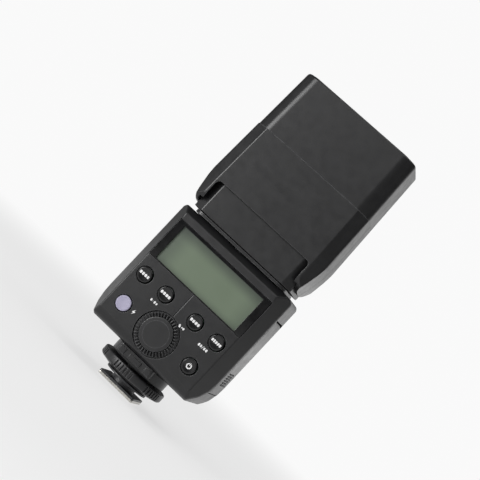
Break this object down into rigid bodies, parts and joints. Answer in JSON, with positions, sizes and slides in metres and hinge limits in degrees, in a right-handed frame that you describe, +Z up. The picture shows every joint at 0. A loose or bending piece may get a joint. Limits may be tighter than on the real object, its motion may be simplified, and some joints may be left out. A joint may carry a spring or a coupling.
{
  "type": "speedlight flash",
  "caption": "Shoe-mount camera flash: tilting zoom head on a swivel neck, display with buttons and dial, lock wheel and hot-shoe foot.",
  "frame": {"origin": "centre of the hot-shoe foot's underside, on the swivel axis", "axes": "+Z up along the upright flash to the lens, -Y the side with the display, +X to the right of the display"},
  "size_m": [0.062, 0.039, 0.1468],
  "materials": {
    "moulded_casing": "fine matt moulded texture",
    "gloss_black": "polished",
    "lcd_glass": "grey-green display",
    "test_key": "translucent satin",
    "soft_black": "matt",
    "inner_plastic": "plain moulded",
    "steel": "plated",
    "shoe_metal": "satin",
    "contact_metal": "gold plated",
    "circuit_board": "solder mask",
    "lens_plastic": "clear ribbed",
    "red_lens": "dark red translucent",
    "lamp_glass": "clear",
    "mirror_sheet": "bright rolled",
    "white_card": "satin",
    "shrink_sleeve": "satin film"
  },
  "bodies": {
    "body": {"rear_shell": "moulded_casing", "front_shell": "moulded_casing", "display_window": "gloss_black", "lcd_module": "lcd_glass", "control_board": "circuit_board", "battery_cradle": "inner_plastic", "battery_pack": "shrink_sleeve", "battery_terminal_1": "contact_metal", "battery_terminal_2": "contact_metal", "battery_door_pin": "steel", "power_board": "circuit_board", "charge_transformer": "inner_plastic", "sync_jack": "inner_plastic", "usb_socket": "steel", "red_window": "red_lens", "focus_lamp": "lens_plastic", "shell_screw_1": "steel", "shell_screw_2": "steel", "pedestal": "moulded_casing", "shoe_foot": "shoe_metal", "contact_block": "gloss_black", "foot_screw_1": "steel", "foot_screw_2": "steel"},
    "neck": {"neck_core": "moulded_casing", "neck_cover": "moulded_casing", "swivel_spigot": "moulded_casing", "swivel_retainer": "steel", "main_capacitor": "shrink_sleeve", "tilt_pin_left": "steel", "tilt_pin_right": "steel"},
    "head": {"head_label_shell": "moulded_casing", "head_front_shell": "moulded_casing", "head_bezel": "moulded_casing", "fresnel_lens": "lens_plastic", "zoom_motor": "steel", "zoom_guide_rod": "steel", "trigger_board": "circuit_board"},
    "zoom_carriage": {"zoom_carriage": "inner_plastic", "reflector": "mirror_sheet", "flash_tube": "lamp_glass"},
    "zoom_screw": {"zoom_screw": "steel"},
    "bounce_card": {"bounce_card": "white_card"},
    "wide_panel": {"wide_panel": "lens_plastic"},
    "battery_door": {"battery_door": "moulded_casing"},
    "port_cover": {"port_cover": "soft_black"},
    "select_dial": {"select_dial": "moulded_casing"},
    "clamp_washer": {"clamp_washer": "steel"},
    "lock_wheel": {"lock_wheel": "moulded_casing"},
    "lock_pin": {"lock_pin": "steel"},
    "mode_button": {"mode_button": "gloss_black"},
    "zoom_button": {"zoom_button": "gloss_black"},
    "sync_button": {"sync_button": "gloss_black"},
    "slave_button": {"slave_button": "gloss_black"},
    "test_button": {"test_button": "test_key"},
    "power_button": {"power_button": "gloss_black"},
    "set_button": {"set_button": "gloss_black"},
    "centre_contact": {"centre_contact": "contact_metal"},
    "data_contact_1": {"data_contact_1": "contact_metal"},
    "data_contact_2": {"data_contact_2": "contact_metal"},
    "data_contact_3": {"data_contact_3": "contact_metal"}
  },
  "joints": [
    {"name": "head_swivel", "type": "hinge", "parent": "body", "child": "neck", "pos_m": [0, 0, 0.0742], "axis": [0, 0, 1], "range_deg": [-90, 180]},
    {"name": "head_tilt", "type": "hinge", "parent": "neck", "child": "head", "pos_m": [0, 0, 0.0933], "axis": [1, 0, 0], "range_deg": [-97, 0]},
    {"name": "zoom_travel", "type": "slide", "parent": "head", "child": "zoom_carriage", "axis": [0, 0, 1], "range_m": [0, 0.012]},
    {"name": "zoom_screw_turn", "type": "hinge", "parent": "head", "child": "zoom_screw", "pos_m": [0.0244, 0, 0.119], "axis": [0, 0, 1], "range_deg": [0, 1081]},
    {"name": "bounce_card_slide", "type": "slide", "parent": "head", "child": "bounce_card", "axis": [0, 0, 1], "range_m": [0, 0.034]},
    {"name": "wide_panel_slide", "type": "slide", "parent": "head", "child": "wide_panel", "axis": [0, 0, 1], "range_m": [0, 0.034]},
    {"name": "battery_door_swing", "type": "hinge", "parent": "body", "child": "battery_door", "pos_m": [0.0286, 0, 0.0623], "axis": [0, -1, 0], "range_deg": [0, 95]},
    {"name": "port_cover_swing", "type": "hinge", "parent": "body", "child": "port_cover", "pos_m": [-0.0296, 0.011, 0.066], "axis": [0, 0, -1], "range_deg": [0, 100]},
    {"name": "dial_turn", "type": "hinge", "parent": "body", "child": "select_dial", "pos_m": [0, -0.0192, 0.0274], "axis": [0, -1, 0], "continuous": true},
    {"name": "lock_wheel_turn", "type": "hinge", "parent": "clamp_washer", "child": "lock_wheel", "pos_m": [0, 0, 0.0078], "axis": [0, 0, -1], "range_deg": [0, 181]},
    {"name": "clamp_travel", "type": "slide", "parent": "body", "child": "clamp_washer", "axis": [0, 0, -1], "range_m": [0, 0.0008]},
    {"name": "lock_pin_travel", "type": "slide", "parent": "body", "child": "lock_pin", "axis": [0, 0, -1], "range_m": [0, 0.00125]},
    {"name": "mode_press", "type": "slide", "parent": "body", "child": "mode_button", "axis": [0, 1, 0], "range_m": [0, 0.0007], "stiffness_N_per_m": 900, "springref_m": -0.0008},
    {"name": "zoom_press", "type": "slide", "parent": "body", "child": "zoom_button", "axis": [0, 1, 0], "range_m": [0, 0.0007], "stiffness_N_per_m": 900, "springref_m": -0.0008},
    {"name": "sync_press", "type": "slide", "parent": "body", "child": "sync_button", "axis": [0, 1, 0], "range_m": [0, 0.0007], "stiffness_N_per_m": 900, "springref_m": -0.0008},
    {"name": "slave_press", "type": "slide", "parent": "body", "child": "slave_button", "axis": [0, 1, 0], "range_m": [0, 0.0007], "stiffness_N_per_m": 900, "springref_m": -0.0008},
    {"name": "test_press", "type": "slide", "parent": "body", "child": "test_button", "axis": [0, 1, 0], "range_m": [0, 0.0007], "stiffness_N_per_m": 900, "springref_m": -0.0008},
    {"name": "power_press", "type": "slide", "parent": "body", "child": "power_button", "axis": [0, 1, 0], "range_m": [0, 0.0007], "stiffness_N_per_m": 900, "springref_m": -0.0008},
    {"name": "set_press", "type": "slide", "parent": "body", "child": "set_button", "axis": [0, 1, 0], "range_m": [0, 0.0007], "stiffness_N_per_m": 900, "springref_m": -0.0008},
    {"name": "centre_contact_travel", "type": "slide", "parent": "body", "child": "centre_contact", "axis": [0, 0, 1], "range_m": [0, 0.0005], "stiffness_N_per_m": 400, "springref_m": -0.0005},
    {"name": "data_contact_1_travel", "type": "slide", "parent": "body", "child": "data_contact_1", "axis": [0, 0, 1], "range_m": [0, 0.0005], "stiffness_N_per_m": 400, "springref_m": -0.0005},
    {"name": "data_contact_2_travel", "type": "slide", "parent": "body", "child": "data_contact_2", "axis": [0, 0, 1], "range_m": [0, 0.0005], "stiffness_N_per_m": 400, "springref_m": -0.0005},
    {"name": "data_contact_3_travel", "type": "slide", "parent": "body", "child": "data_contact_3", "axis": [0, 0, 1], "range_m": [0, 0.0005], "stiffness_N_per_m": 400, "springref_m": -0.0005}
  ],
  "couplings": [
    {"joint": "zoom_screw_turn", "follows": "zoom_travel", "rad_per_m": 1570.8},
    {"joint": "lock_wheel_turn", "follows": "clamp_travel", "rad_per_m": 3927},
    {"joint": "lock_pin_travel", "follows": "clamp_travel", "ratio": 1.5}
  ]
}
